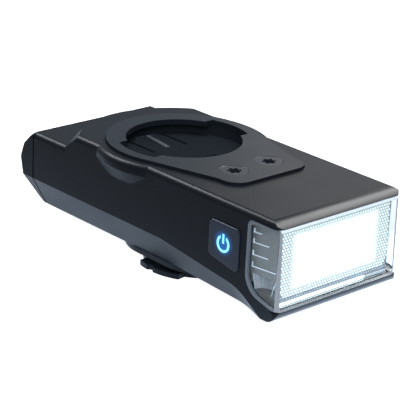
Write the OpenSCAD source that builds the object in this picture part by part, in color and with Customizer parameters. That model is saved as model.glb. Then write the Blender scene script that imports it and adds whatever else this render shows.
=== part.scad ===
// Out-front bike headlight with a quarter-turn dock on top and a quarter-turn foot below.
// Millimetres. +X is the beam, +Y the rider's left, +Z up.
// The origin is the centre of the foot's flat bottom face.

/* [Show] */
// which sub-part to draw, or all of them

/* [Body] */
// width across the flat sides
body_w = 37; // [35:0.5:42]
// height of the housing, flat bottom to flat top
body_h = 22; // [21:0.5:28]
// dock centre to the front face's lower edge, and how far its upper edge leans back
front_len = 50; // [47:0.5:60]
front_lean = 0.6; // [0:0.1:3]
// dock centre to the end cap's seam
rear_len = 31.2; // [30:0.2:45]
// foot centre to dock centre, along the beam
dock_back = 7; // [4:0.5:12]
// wall of the housing and the end cap
wall = 1.8; // [1.4:0.1:2.2]
// step down from the dock's dais to the rear deck
deck_drop = 3.6; // [2.5:0.1:4]
// rounding along the top side edges
edge_r = 1.5; // [0.8:0.1:1.8]
// length of the hood's sloping brow over the lens
brow_l = 1.4; // [1:0.1:2]
// rounding of the front's upright corners, of the lip's under the lens, and of the chin
corner_r = 2; // [1:0.1:2.4]
lip_r = 1.3; // [0.8:0.1:1.5]
chin_r = 2.8; // [0.5:0.1:3]
// width and height of the lower side chamfers
chamfer_w = 4.25; // [3:0.25:5]
chamfer_h = 7.25; // [5:0.25:8]
// how far behind the front face the chamfers start to fade, flare out, and end
fade_len = 36; // [32:0.5:40]
flare_len = 11.5; // [10:0.5:14]
flare_end = 4.2; // [3:0.1:5]
// how far they have faded where the flare starts, and the arc there
fade_rise = 1.42; // [1:0.02:1.8]
flare_r = 24; // [18:1:28]
// length of the end cap behind its seam
cap_len = 5; // [4.8:0.1:6]
// gasket between the housing and the end cap
seal_t = 0.4; // [0.3:0.1:0.8]

/* [Dock] */
// round hole in the mount plate, and its two entry notches
hole_r = 13.2; // [13:0.1:13.6]
notch_r = 15.3; // [15:0.1:15.6]
notch_w = 12; // [11:0.5:13]
// mount plate: round head, thickness, how far it stands proud
plate_r = 17.7; // [17.5:0.1:18.5]
plate_t = 1.3; // [1.1:0.1:1.6]
plate_proud = 0.6; // [0.3:0.1:0.8]
// mount plate's tail: front edge from the dock centre, half-width there, slope of its sides
tail_len = 29; // [28:0.5:32]
tail_hw = 11.4; // [11:0.1:12.5]
tail_angle = 16.5; // [14:0.5:18]
// plate screws: distance ahead of the dock centre, spacing, head and thread
plate_screw_x = 22; // [21:0.5:24]
plate_screw_gap = 10.4; // [9:0.2:12]
plate_screw_head_r = 3.1; // [2.6:0.1:3.4]
plate_screw_r = 1.25; // [1:0.05:1.5]
// depth of the dock's floor under the plate's top, and the floor's thickness
dock_depth = 3.7; // [3.6:0.1:4.2]
dock_floor_t = 1.4; // [1.2:0.1:1.8]
// bulge of the housing round the dock: radius, upright height, height of its sloping underside
bulge_r = 20.4; // [20:0.1:22]
bulge_h = 2.4; // [2.2:0.1:4]
bulge_slope_h = 3.5; // [2:0.1:5]
// dais behind the dock, at the top of its slope
dais_r = 23.7; // [23:0.1:25]
// spring tongues: width, slot at each side, root distance from the dock centre, thickness, bump
tongue_w = 9; // [7:0.5:10]
tongue_slot = 0.9; // [0.4:0.1:1.2]
tongue_root = 4.5; // [3.5:0.5:6]
tongue_t = 1; // [0.8:0.1:1.2]
bump_h = 0.5; // [0.3:0.1:0.8]

/* [Foot] */
// spigot and bayonet tabs of the quarter-turn foot
foot_r = 12.9; // [12.5:0.1:13]
tab_r = 14.9; // [14.5:0.1:15.1]
tab_w = 11.4; // [10.5:0.1:11.6]
tab_t = 1.2; // [1:0.1:1.4]
// how far the tabs are turned from their notches
tab_turn = 7; // [0:1:10]
// slot between the tabs and the flange, and the flange
slot_t = 1.4; // [1.4:0.1:1.9]
flange_t = 1.2; // [1:0.1:1.6]
flange_l = 34; // [31:0.5:38]
flange_w = 28.8; // [28:0.2:30]
// screws that hold the foot
foot_screw_x = 8; // [6:0.5:9]
foot_screw_r = 1.25; // [1:0.05:1.5]
foot_screw_head_r = 2.4; // [2:0.1:2.6]

/* [Lens] */
// side window: length behind the front face, hood above it, lip below it
window_l = 9.6; // [9:0.2:11]
hood_t = 1.5; // [1.3:0.1:2.4]
lip_t = 2.4; // [1.6:0.1:3]
// slope of the window's lower edge, from the front up to the rear, and its lower rear corner
window_slope = 14; // [8:1:20]
window_r = 5.2; // [3:0.1:6]
// thickness of the clear front and sides
lens_t = 1.5; // [1.2:0.1:1.6]
// raised rim round the lens, and how far the field inside it is sunk
lens_rim = 0.7; // [0.5:0.05:1]
lens_step = 0.25; // [0.15:0.05:0.35]
// dotted panel behind the clear front, and the bright strip under it
panel_t = 1.4; // [1:0.1:1.5]
strip_h = 1.05; // [0.8:0.05:1.3]
// shell of the reflector
reflector_t = 1; // [0.8:0.1:1.2]

/* [Button] */
// rear edge behind the front face, width, top edge under the housing's top
button_back = 20.6; // [20:0.2:22]
button_w = 9.1; // [8:0.1:9.5]
button_drop = 4.8; // [4.6:0.1:6]
// height at the rear edge, and how far the lower edge falls towards the front
button_h = 8; // [7:0.1:9]
button_fall = 1.7; // [0:0.1:2]
button_proud = 0.35; // [0.2:0.05:0.6]
button_travel = 0.5; // [0.3:0.05:0.6]
// power symbol: ring radius, line width
symbol_r = 1.9; // [1.4:0.1:2.2]
symbol_line = 0.55; // [0.4:0.05:0.7]

/* [Port] */
// silicone port cover: width, height, its centre under the main board
cover_w = 16; // [15:0.5:18]
cover_h = 6; // [5.6:0.2:6.4]
port_drop = 2.8; // [2.6:0.1:3.2]
// charge socket's metal shell
socket_w = 8.94; // [8.9:0.01:9]
socket_h = 3.2; // [3.1:0.05:3.3]
socket_l = 7.3; // [6.5:0.1:8]

/* [Inside] */
battery_l = 47; // [40:1:50]
battery_w = 24; // [20:0.5:25]
// foam pad on the cell, circuit boards, and the space over the main board
pad_t = 1.6; // [1:0.1:2.5]
board_t = 1.2; // [0.8:0.1:1.6]
board_gap = 1.6; // [1.2:0.1:2.5]
// one light chip
chip_w = 3; // [2:0.1:3.6]
chip_t = 0.7; // [0.5:0.05:1]

/* [Clearances] */
// lens, plate and cap in their seats
seat_gap = 0.15; // [0.1:0.05:0.2]
// moving faces, and round running fits
move_gap = 0.3; // [0.2:0.05:0.4]
run_gap = 0.05; // [0.03:0.01:0.08]
// how deep the countersunk heads lie under their face
head_sink = 0.05; // [0.03:0.01:0.1]

/* [Hidden] */
$fn = 96;
eps = 0.01;

// heights
z_bottom = tab_t + slot_t + flange_t;
z_top = z_bottom + body_h;
z_deck = z_top - deck_drop;
z_plate = z_top + plate_proud;
z_plate_under = z_plate - plate_t;
z_floor = z_plate - dock_depth;
z_base = z_floor - dock_floor_t;
web_t = 1.5;
z_ceiling = z_base - web_t;
z_board = z_ceiling - board_gap - board_t;
z_inner = z_bottom + wall;

// lengths and half-widths
half_w = body_w / 2;
inner_w = half_w - wall;
x_dock = -dock_back;
x_front = x_dock + front_len;
x_seam = x_dock - rear_len;
x_cap = x_seam - seal_t;
x_head = x_front - button_back - 2.2;

// window of the lens
x_window = x_front - window_l;
z_window = z_top - hood_t;
z_lip = z_bottom + lip_t;
z_window_low = z_lip + window_l * tan(window_slope);
z_strip = z_lip + seat_gap + strip_h;
panel_back = lens_t + seat_gap;
lean_angle = atan2(front_lean, body_h);
function front_x(z) = x_front - front_lean * (z - z_bottom) / body_h;

// dock pocket
cup_r = notch_r + 1.6;
bump_x = hole_r + 0.3;
tongue_tip = notch_r - 0.4;
tongue_z = z_floor - tongue_t / 2;

// button and its switch
x_button = x_front - button_back;
z_button = z_top - button_drop;
y_button = -half_w - button_proud;
flange_out = 0.8;
flange_back = 0.8;
y_flange = -inner_w + move_gap;
y_switch = y_flange + flange_back + button_travel + 0.1;
y_button_board = y_switch + 2.6;

// port cover and its pin
cover_z = z_board - port_drop;
x_tip = x_seam - cap_len;
cover_in = x_tip + 2.6;
knuckle_r = 0.65;
pin_r = 0.3;
pin_x = cover_in - knuckle_r + 0.05;
pin_y = cover_w / 2;
hinge_t = pin_x - x_tip;
cap_in = cover_in + 1.4;
cap_screw_y = half_w - 5.4;
cap_screw_r = 0.9;
cap_screw_head_r = 1.9;
boss_len = 4.6;
spigot_l = 4;
spigot_t = 1.2;

// colours
body_color = "#343a41";
black = "#1d2023";
steel = "#aeb4b9";
board_green = "#20503a";

// unit vector, and one corner's round: arms, tangent length, centre, turn
function unit(v) = v / norm(v);
function xy(p) = [p[0], p[1]];
function arm(pts, i, step) = unit(xy(pts[(i + step + len(pts)) % len(pts)]) - xy(pts[i]));
function radius(p) = len(p) > 2 ? p[2] : 0;
function half_angle(pts, i) = acos(arm(pts, i, -1) * arm(pts, i, 1)) / 2;
function cut(pts, i) = radius(pts[i]) / tan(half_angle(pts, i));
function centre(pts, i) = xy(pts[i]) + unit(arm(pts, i, -1) + arm(pts, i, 1))
    * radius(pts[i]) / sin(half_angle(pts, i));
function outward(pts, i) = cross(arm(pts, i, 1), arm(pts, i, -1)) > 0;

// outline from corners [x, y, radius], counter-clockwise, with true arcs at the corners
module rounded(pts) {
    last = len(pts) - 1;
    chain = [for (i = [0:last]) each radius(pts[i]) == 0 ? [xy(pts[i])]
        : [xy(pts[i]) + arm(pts, i, -1) * cut(pts, i), xy(pts[i]) + arm(pts, i, 1) * cut(pts, i)]];
    difference() {
        union() {
            polygon(chain);
            for (i = [0:last]) if (radius(pts[i]) > 0 && outward(pts, i))
                translate(centre(pts, i)) circle(radius(pts[i]));
        }
        for (i = [0:last]) if (radius(pts[i]) > 0 && !outward(pts, i))
            translate(centre(pts, i)) circle(radius(pts[i]));
    }
}

// rectangle with round corners, centred
module rounded_box(w, h, r) {
    rounded([[-w / 2, -h / 2, r], [w / 2, -h / 2, r], [w / 2, h / 2, r], [-w / 2, h / 2, r]]);
}

// extrusions of side (X, Z), cross (Y, Z) and wall outlines
module along_y(y0, y1) {
    translate([0, y1, 0]) rotate([90, 0, 0]) linear_extrude(y1 - y0) children();
}
module along_x(x0, x1) {
    translate([x0, 0, 0]) rotate([90, 0, 90]) linear_extrude(x1 - x0) children();
}
module along_z(z0, z1) {
    translate([0, 0, z0]) linear_extrude(z1 - z0) children();
}
module block(x0, x1, y0, y1, z0, z1) {
    translate([x0, y0, z0]) cube([x1 - x0, y1 - y0, z1 - z0]);
}
module rod_x(x0, x1, y, z, r) {
    translate([x0, y, z]) rotate([0, 90, 0]) cylinder(h = x1 - x0, r = r);
}
module rod_z(x, y, z0, z1, r) {
    translate([x, y, z0]) cylinder(h = z1 - z0, r = r);
}

// cross-section of the body, moved in by g, with its lower chamfers
chamfer_l = norm([chamfer_w, chamfer_h]);
chamfer_d = chamfer_w * chamfer_h / chamfer_l;
function low_y(g) = (chamfer_h * (half_w - chamfer_w) - g * chamfer_l + chamfer_w * g) / chamfer_h;
function low_z(g) = z_bottom + (chamfer_h * (chamfer_w - g) + g * chamfer_l) / chamfer_w;
module cross_section(g, top, r) {
    w = half_w - g;
    rounded([[-low_y(g), z_bottom + g], [low_y(g), z_bottom + g], [w, low_z(g)],
        [w, top, r], [-w, top, r], [-w, low_z(g)]]);
}

// square cross-section, before the chamfers are cut
module square_section(top) {
    rounded([[-half_w, z_bottom], [half_w, z_bottom], [half_w, top, edge_r], [-half_w, top, edge_r]]);
}

// cutter for one lower side chamfer, which fades slowly towards the front and then flares out
module chamfer_cutter(side) {
    reach = 20;
    over = 2 * chamfer_d;
    slope = (chamfer_d + 0.05 - fade_rise) / (flare_len - flare_end);
    scale([1, side, 1]) translate([0, half_w - chamfer_w, z_bottom])
        rotate([-atan2(chamfer_w, chamfer_h), 0, 0])
            translate([0, 0, -reach / 2]) linear_extrude(chamfer_l + reach)
                rounded([[x_seam - reach, 0], [x_front - fade_len, 0],
                    [x_front - flare_len, fade_rise, flare_r],
                    [x_front - flare_len + (over - fade_rise) / slope, over], [x_seam - reach, over]]);
}

// outer form of the housing with its lens, and the end cap's; the front's rounds start a little
// outside its flat faces, so that the faces cross instead of just touching
module body_shape() {
    out = 0.03;
    side_w = half_w + out;
    x_brow = front_x(z_window) + out;
    brow_r = 0.95 * norm([brow_l, hood_t]) / tan(atan2(hood_t, brow_l) / 2);
    difference() {
        intersection() {
            union() {
                along_x(x_seam, x_front + 1) square_section(z_deck);
                intersection() {
                    along_x(x_seam, x_front + 1) square_section(z_top);
                    union() {
                        block(x_dock, x_front + 2, -half_w - 1, half_w + 1, z_bottom - 1, z_top + 1);
                        rod_z(x_dock, 0, z_bottom, z_deck, dais_r + 0.9 * deck_drop);
                        translate([x_dock, 0, z_deck])
                            cylinder(h = deck_drop, r1 = dais_r + 0.9 * deck_drop, r2 = dais_r);
                    }
                }
                dock_bulge();
            }
            along_y(-body_w, body_w) rounded([[x_seam - 1, z_bottom - eps],
                [x_front + out, z_bottom - eps, chin_r], [x_brow, z_window],
                [x_brow - brow_l, z_top + eps, brow_r], [x_seam - 1, z_top + eps]]);
            translate([x_front, 0, z_bottom]) rotate([0, -lean_angle, 0]) {
                along_z(-body_h, 2 * body_h) front_plan(0, side_w, corner_r);
                along_z(-body_h, z_lip - z_bottom) front_plan(-eps, side_w + eps, lip_r);
            }
        }
        chamfer_cutter(1);
        chamfer_cutter(-1);
    }
}
// plan of everything behind the front face, with its two upright corners round
module front_plan(x, w, r) {
    rounded([[-5 * body_w, -body_w], [-4, -body_w], [-4, -w], [x, -w, r], [x, w, r], [-4, w],
        [-4, body_w], [-5 * body_w, body_w]]);
}
module dock_bulge() {
    edge = z_top - bulge_h;
    low = edge - bulge_slope_h;
    translate([x_dock, 0, 0]) rotate_extrude() difference() {
        rounded([[-bulge_r, low], [half_w, low], [bulge_r, edge, 1.2],
            [bulge_r, z_top, edge_r], [-bulge_r, z_top]]);
        translate([-2 * bulge_r, 0]) square([2 * bulge_r, 2 * z_top]);
    }
}
module cap_shape() {
    difference() {
        intersection() {
            along_x(x_tip - 1, x_cap) square_section(z_deck);
            along_y(-body_w, body_w) rounded([[x_cap + 1, z_deck + eps], [x_cap, z_deck + eps],
                [x_tip + 1.2, z_deck - 3.5, 2], [x_tip, z_deck - 7, 2], [x_tip + 1, z_bottom + 7.2, 3],
                [x_tip + 3.6, z_bottom - eps, 1.2], [x_cap + 1, z_bottom - eps]]);
        }
        chamfer_cutter(1);
        chamfer_cutter(-1);
    }
}

// side window of the lens, moved in by g
module window(g) {
    rounded([[x_window + g, z_window - g, 1.4], [x_window + g, z_window_low + g, window_r],
        [x_front, z_lip + g], [x_front + 3, z_lip + g], [x_front + 3, z_window - g]]);
}

// upright slab behind the leaning front face, from one height to another
module front_slab(back, thick, z0, z1) {
    polygon([[front_x(z0) - back - thick, z0], [front_x(z0) - back, z0],
        [front_x(z1) - back, z1], [front_x(z1) - back - thick, z1]]);
}

// outline of the mount plate, moved out by g
module plate_outline(g) {
    r = plate_r + g;
    tangent = [r * sin(tail_angle), r * cos(tail_angle)];
    end = [tail_len + g, tail_hw + g];
    knee = tangent[0] + (tangent[1] - end[1]) / tan(tail_angle);
    translate([x_dock, 0]) {
        circle(r);
        rounded([[0, -r], [tangent[0], -tangent[1]], [knee, -end[1], 6], [end[0], -end[1], 4],
            [end[0], end[1], 4], [knee, end[1], 6], [tangent[0], tangent[1]], [0, r]]);
    }
}

// six-lobed drive recess
module star_recess(size) {
    circle(0.78 * size);
    for (i = [0:5]) rotate(60 * i) translate([0.8 * size, 0]) circle(0.3 * size);
}

// countersunk screw with its head up, top face at z = 0
module countersunk(head_r, shank_r, length, recess) {
    difference() {
        union() {
            translate([0, 0, shank_r - head_r]) cylinder(h = head_r - shank_r, r1 = shank_r, r2 = head_r);
            translate([0, 0, -length]) cylinder(h = length - 0.2, r = shank_r);
        }
        translate([0, 0, -1.1]) linear_extrude(2) star_recess(recess);
    }
}
// its seat, for a head that lies sunk by head_sink
module countersink(head_r, shank_r, gap) {
    reach = head_r - shank_r;
    translate([0, 0, -reach])
        cylinder(h = reach + eps, r1 = shank_r + gap + head_sink, r2 = head_r + gap + head_sink);
    translate([0, 0, -10]) cylinder(h = 11, r = shank_r + gap);
}

// button outline in (X, Z), moved out by g
module button_outline(g) {
    x1 = x_button + button_w;
    z_low = z_button - button_h;
    r = 1.1 + g;
    rounded([[x_button - g, z_low - g, r], [x1 + g, z_low - button_fall - g, r],
        [x1 + g, z_button + g, r], [x_button - g, z_button + g, r]]);
}

// middle of the button's face
button_mid_x = x_button + button_w / 2;
button_mid_z = z_button - button_h / 2 - button_fall / 4;

// tongue of the dock's floor, along +X from the dock centre; slot widens it for its opening
module tongue_outline(slot) {
    intersection() {
        circle(tongue_tip + (slot > 0 ? 0.3 : 0));
        union() {
            translate([tongue_root, -tongue_w / 2 - slot]) square([20, tongue_w + 2 * slot]);
            if (slot > 0) for (side = [-1, 1])
                translate([tongue_root, side * (tongue_w + slot) / 2]) circle(slot / 2);
        }
    }
}
module tongue() {
    along_z(z_floor - tongue_t, z_floor) tongue_outline(0);
    translate([tongue_root, tongue_w / 2, tongue_z]) rotate([90, 0, 0]) cylinder(h = tongue_w, d = tongue_t);
    intersection() {
        translate([bump_x, tongue_w / 2 - 1.2, z_floor - 0.3]) rotate([90, 0, 0])
            cylinder(h = tongue_w - 2.4, r = bump_h + 0.3);
        along_z(z_floor - tongue_t, z_plate) circle(tongue_tip);
    }
}

module housing() {
    color(body_color) difference() {
        union() {
            difference() {
                body_shape();
                along_x(x_seam - 1, x_head) cross_section(wall, z_ceiling, 1);
                intersection() {
                    along_x(x_head - eps, x_window + 0.5) cross_section(wall, z_window, 1);
                    block(x_head - 1, x_window + 1, -half_w, half_w, z_bottom, z_window);
                }
                along_y(-half_w - 1, half_w + 1) window(0);
                along_y(-inner_w, inner_w) front_slab(lens_t - 0.1, panel_t + 0.4, z_lip, z_strip + 0.5);
            }
            for (side = [-1, 1]) scale([1, side, 1])
                block(x_seam + spigot_l + 0.4, x_seam + spigot_l + 0.4 + boss_len,
                    cap_screw_y - 2, inner_w + 0.2, cover_z - 2, cover_z + 2);
        }
        rod_z(x_dock, 0, z_base, z_top, cup_r + seat_gap);
        along_z(z_plate_under, z_top + 1) plate_outline(seat_gap);
        translate([x_dock, 0, 0]) for (turn = [0, 180]) rotate(turn)
            along_z(z_base - 0.6, z_base + eps) tongue_outline(tongue_slot);
        for (side = [-1, 1]) {
            translate([x_dock + plate_screw_x, side * plate_screw_gap / 2, z_plate])
                countersink(plate_screw_head_r, plate_screw_r, run_gap);
            rod_x(x_seam - 1, x_seam + spigot_l + boss_len, side * cap_screw_y, cover_z,
                cap_screw_r + run_gap);
            rod_z(side * foot_screw_x, 0, 0, z_inner + 1, foot_screw_r + run_gap);
        }
        along_y(-half_w - 1, -inner_w + 1) button_outline(seat_gap);
        along_y(-inner_w - 0.02, y_button_board) button_outline(flange_out + move_gap);
    }
}

module rear_cap() {
    color(body_color) difference() {
        union() {
            difference() {
                cap_shape();
                along_x(cap_in, x_cap + 1) translate([0, cover_z])
                    rounded_box(2 * (inner_w - 2), cover_h + 2, 1.5);
            }
            difference() {
                along_x(x_cap - 0.3, x_seam + spigot_l)
                    cross_section(wall + seat_gap, z_ceiling - seat_gap, 1);
                along_x(x_cap - 2, x_seam + spigot_l + 1)
                    cross_section(wall + seat_gap + spigot_t, z_ceiling - seat_gap - spigot_t, 1);
            }
            for (side = [-1, 1])
                rod_z(x_seam + 1.5, side * 6, z_inner + 0.4, cover_z - socket_h / 2 - board_t, 1.3);
        }
        along_x(cover_in - 9, cover_in) translate([0, cover_z])
            rounded_box(cover_w + 2 * move_gap, cover_h + 2 * move_gap, 1);
        along_z(cover_z - cover_h / 2 - move_gap - 0.05, cover_z + cover_h / 2 + move_gap + 0.05) {
            translate([pin_x, pin_y]) circle(knuckle_r + run_gap);
            translate([cover_in - 9, pin_y - 1]) square([pin_x - cover_in + 9, 1 + knuckle_r + run_gap]);
        }
        rod_z(pin_x, pin_y, cover_z - cover_h / 2 - 1.5, cover_z + cover_h / 2 + 1.5, pin_r);
        along_x(cover_in - 1, cap_in + 1) translate([0, cover_z])
            rounded_box(socket_w + 1.8, socket_h + 1.2, 1.4);
        for (side = [-1, 1]) {
            rod_x(cover_in - 9, cover_in, side * cap_screw_y, cover_z, cap_screw_head_r + seat_gap);
            rod_x(cover_in - 1, x_seam + spigot_l + 1, side * cap_screw_y, cover_z, cap_screw_r + 0.2);
        }
    }
}

module rear_seal() {
    color(black) difference() {
        along_x(x_cap, x_seam) cross_section(0.25, z_deck - 0.25, edge_r);
        along_x(x_cap - 1, x_seam + 1) cross_section(wall, z_ceiling, 1);
    }
}

// cap screw on the given side, with a six-lobed head
module cap_screw(side) {
    color(steel) translate([0, side * cap_screw_y, cover_z]) difference() {
        union() {
            rod_x(cover_in - 1.2, cover_in, 0, 0, cap_screw_head_r);
            rod_x(cover_in - 0.2, x_seam + spigot_l + boss_len - 0.4, 0, 0, cap_screw_r);
        }
        along_x(cover_in - 2, cover_in - 0.3) star_recess(1);
    }
}
module cap_screw_left() { cap_screw(1); }
module cap_screw_right() { cap_screw(-1); }

module port_cover() {
    color(black) difference() {
        union() {
            intersection() {
                cap_shape();
                along_x(cover_in - 9, cover_in) translate([-hinge_t / 2, cover_z])
                    rounded_box(cover_w - hinge_t, cover_h, 0.8);
            }
            block(pin_x - knuckle_r, cover_in, pin_y - hinge_t - 0.5, pin_y,
                cover_z - cover_h / 2, cover_z + cover_h / 2);
            rod_z(pin_x, pin_y, cover_z - cover_h / 2, cover_z + cover_h / 2, knuckle_r);
            along_x(cover_in - 0.5, cap_in - 0.2) translate([0, cover_z])
                rounded_box(socket_w + 1.2, socket_h + 0.6, 1.2);
        }
        rod_z(pin_x, pin_y, cover_z - cover_h, cover_z + cover_h, pin_r + run_gap);
    }
}

module cover_pin() {
    color(steel) rod_z(pin_x, pin_y, cover_z - cover_h / 2 - 1.4, cover_z + cover_h / 2 + 1.4, pin_r);
}

module usb_socket() {
    x0 = cap_in + 0.1;
    color(steel) along_x(x0, x0 + socket_l) translate([0, cover_z]) difference() {
        rounded_box(socket_w, socket_h, 1.2);
        rounded_box(socket_w - 0.6, socket_h - 0.6, 0.9);
    }
    color(steel) block(x0 + socket_l - 0.5, x0 + socket_l, -3.6, 3.6, cover_z - 1.2, cover_z + 1.2);
    color(black) block(x0 + 0.8, x0 + socket_l - 0.4, -3.3, 3.3, cover_z - 0.35, cover_z + 0.35);
}

module usb_board() {
    top = cover_z - socket_h / 2;
    color(board_green) block(cap_in + 0.6, x_seam + spigot_l - 0.2, -cover_w / 2, cover_w / 2,
        top - board_t, top);
}

module lens() {
    color("#b9c4c8", 0.45) difference() {
        intersection() {
            body_shape();
            along_y(-half_w - 1, half_w + 1) window(0.05);
        }
        along_y(lens_t - half_w, half_w - lens_t) front_slab(lens_t, 2 * window_l, 0, z_top + 5);
        for (side = [-1, 1]) scale([1, side, 1])
            along_y(half_w - lens_step, half_w + 1) window(lens_rim);
        along_y(-half_w - 1, half_w + 1)
            front_slab(-5, 5 + lens_step, z_strip + 0.1, z_window - lens_rim);
    }
}

module microlens_panel() {
    color("#e8f4f6") along_y(-inner_w + 0.2, inner_w - 0.2)
        front_slab(panel_back, panel_t, z_strip + 0.2, z_window - 0.3);
}

module light_strip() {
    color("#f4ffff") along_y(-inner_w + 0.2, inner_w - 0.2)
        front_slab(panel_back, panel_t, z_strip - strip_h, z_strip);
}

// four cups in the reflector, each over its own light chip
led_count = 4;
led_pitch = 7.4;
led_z = (z_window + z_window_low) / 2 + 1;
function led_y(i) = (i - (led_count - 1) / 2) * led_pitch;

module reflector() {
    x_back = x_window + 0.35;
    front_back = panel_back + panel_t + 0.1;
    cheek = inner_w - 0.35;
    color("#8d9195") difference() {
        union() {
            along_y(-cheek, cheek) intersection() {
                window(0.35);
                front_slab(front_back, window_l, z_bottom, z_top);
            }
            for (side = [-1, 1], k = [0:3]) scale([1, side, 1])
                block(x_back + 0.8, front_x(z_top) - front_back - 0.2, cheek - 0.2, cheek + 0.15,
                    led_z + 3.4 - 2.2 * k, led_z + 3.7 - 2.2 * k);
        }
        along_y(-cheek + reflector_t, cheek - reflector_t) intersection() {
            window(0.35 + reflector_t);
            translate([x_back + reflector_t, z_bottom]) square([10, body_h]);
        }
        for (i = [0:led_count - 1])
            rod_x(x_back - 1, x_back + 2, led_y(i), led_z, 2.2);
    }
}

module led_chips() {
    x0 = x_window + 0.3;
    color("#f3e9a8") for (i = [0:led_count - 1]) translate([x0, led_y(i) - chip_w / 2, led_z - chip_w / 2])
        cube([chip_t, chip_w, chip_w]);
}

module led_board() {
    x1 = x_window + 0.3;
    color("#e4e6e3") block(x1 - board_t, x1, -inner_w + 0.4, inner_w - 0.4, led_z - 5.4, z_window - 0.4);
}

module heat_sink() {
    x1 = x_window + 0.3 - board_t;
    y1 = -y_button_board - board_t - 0.2;
    fin = 1.2;
    color("#9aa0a5") {
        block(x1 - 2.4, x1, -y1, y1, z_inner + 0.1, z_window - 0.1);
        for (k = [0:4]) translate([0, -y1 + k * (2 * y1 - fin) / 4, 0])
            block(x_head + 1, x1 - 2.3, 0, fin, z_inner + 0.1, z_window - 0.1);
    }
}

module side_button() {
    color("#1a1f24") {
        along_y(y_button, y_flange + eps) button_outline(0);
        along_y(y_flange, y_flange + flange_back) button_outline(flange_out);
    }
}

// generic power sign: a ring with a gap at the top and a bar
module button_symbol() {
    color("#9fe8ff") translate([button_mid_x, 0, button_mid_z])
        along_y(y_button - 0.12, y_button) {
            difference() {
                circle(symbol_r);
                circle(symbol_r - symbol_line);
                translate([-0.45 * symbol_r, 0]) square([0.9 * symbol_r, 2 * symbol_r]);
            }
            translate([-symbol_line / 2, 0.1]) square([symbol_line, symbol_r + 0.2]);
        }
}

module button_board() {
    reach = button_h / 2 + 1.5;
    color(board_green) block(x_button - 1, x_button + button_w + 0.6, y_button_board,
        y_button_board + board_t, button_mid_z - reach, button_mid_z + reach);
}

module tact_switch() {
    color(black) {
        block(button_mid_x - 3, button_mid_x + 3, y_switch + 1, y_button_board,
            button_mid_z - 3, button_mid_z + 3);
        translate([button_mid_x, y_switch + 1.2, button_mid_z]) rotate([90, 0, 0]) cylinder(h = 1.2, r = 1.5);
    }
}

module symbol_led() {
    low = button_mid_z + button_h / 2 - 0.2;
    color("#bfe9ff") block(button_mid_x - 0.8, button_mid_x + 0.8, y_button_board - 0.8, y_button_board,
        low, low + 1);
}

module mount_plate() {
    color("#434a53") difference() {
        along_z(z_plate_under, z_plate) plate_outline(0);
        rod_z(x_dock, 0, 0, z_plate + 1, hole_r);
        translate([x_dock, 0, 0]) along_z(0, z_plate + 1) intersection() {
            circle(notch_r);
            square([notch_w, 3 * notch_r], center = true);
        }
        for (side = [-1, 1]) translate([x_dock + plate_screw_x, side * plate_screw_gap / 2, z_plate])
            countersink(plate_screw_head_r, plate_screw_r, run_gap);
    }
}

module plate_screw(side) {
    color("#566069") translate([x_dock + plate_screw_x, side * plate_screw_gap / 2, z_plate - head_sink])
        countersunk(plate_screw_head_r, plate_screw_r, z_plate - z_ceiling - 0.4, 1.5);
}
module plate_screw_left() { plate_screw(1); }
module plate_screw_right() { plate_screw(-1); }

module dock_base() {
    color(black) translate([x_dock, 0, 0]) difference() {
        rod_z(0, 0, z_base, z_plate_under, cup_r);
        rod_z(0, 0, z_floor, z_plate, notch_r + 0.1);
        for (turn = [0, 180]) rotate(turn) {
            along_z(z_base - 1, z_plate) tongue_outline(tongue_slot);
            translate([tongue_root, tongue_w / 2 + 0.2, tongue_z]) rotate([90, 0, 0])
                cylinder(h = tongue_w + 0.4, d = tongue_t + 2 * run_gap);
        }
    }
}
module front_detent() {
    color("#2b3035") translate([x_dock, 0, 0]) tongue();
}
module rear_detent() {
    color("#2b3035") translate([x_dock, 0, 0]) rotate(180) tongue();
}

module quarter_turn_foot() {
    color("#2a2f35") difference() {
        union() {
            along_z(tab_t + slot_t, z_bottom) rounded_box(flange_l, flange_w, 12);
            rod_z(0, 0, 0, z_bottom - 0.1, foot_r);
            rotate(tab_turn) along_z(0, tab_t) intersection() {
                circle(tab_r);
                square([tab_w, 3 * tab_r], center = true);
            }
        }
        for (side = [-1, 1]) {
            translate([side * foot_screw_x, 0, 0]) rotate([180, 0, 0])
                countersink(foot_screw_head_r, foot_screw_r, run_gap);
            translate([0, side * (tab_r + 0.2), -1]) cylinder(h = tab_t + 1, r = 0.9);
        }
    }
}

module foot_screw(side) {
    color(steel) translate([side * foot_screw_x, 0, head_sink]) rotate([180, 0, 0])
        countersunk(foot_screw_head_r, foot_screw_r, z_inner - 0.2, 1.1);
}
module foot_screw_front() { foot_screw(1); }
module foot_screw_rear() { foot_screw(-1); }

// cell, foam pad and main board stacked on the housing's floor; the cell fills the height that is left
x_battery = x_seam + spigot_l + boss_len + 1;
z_pad = z_board - pad_t;
battery_h = z_pad - z_inner - 0.2;
module battery() {
    color("#3d6fb0") along_x(x_battery, x_battery + battery_l)
        translate([0, z_pad - battery_h / 2]) rounded_box(battery_w, battery_h, 2);
}
module battery_pad() {
    color("#4a4d50") block(x_battery + 2, x_battery + battery_l - 2, -battery_w / 2 + 2, battery_w / 2 - 2,
        z_pad, z_board);
}
module main_board() {
    color(board_green) block(x_seam + spigot_l + 0.4, x_head - 0.6, -inner_w + 0.3, inner_w - 0.3,
        z_board, z_board + board_t);
}

housing();
rear_cap();
rear_seal();
cap_screw_left();
cap_screw_right();
port_cover();
cover_pin();
usb_socket();
usb_board();
lens();
microlens_panel();
light_strip();
reflector();
led_chips();
led_board();
heat_sink();
side_button();
button_symbol();
button_board();
tact_switch();
symbol_led();
mount_plate();
plate_screw_left();
plate_screw_right();
dock_base();
front_detent();
rear_detent();
quarter_turn_foot();
foot_screw_front();
foot_screw_rear();
battery();
battery_pad();
main_board();
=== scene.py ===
# An out-front bike headlight with a quarter-turn dock on top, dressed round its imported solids.
import math

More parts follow.
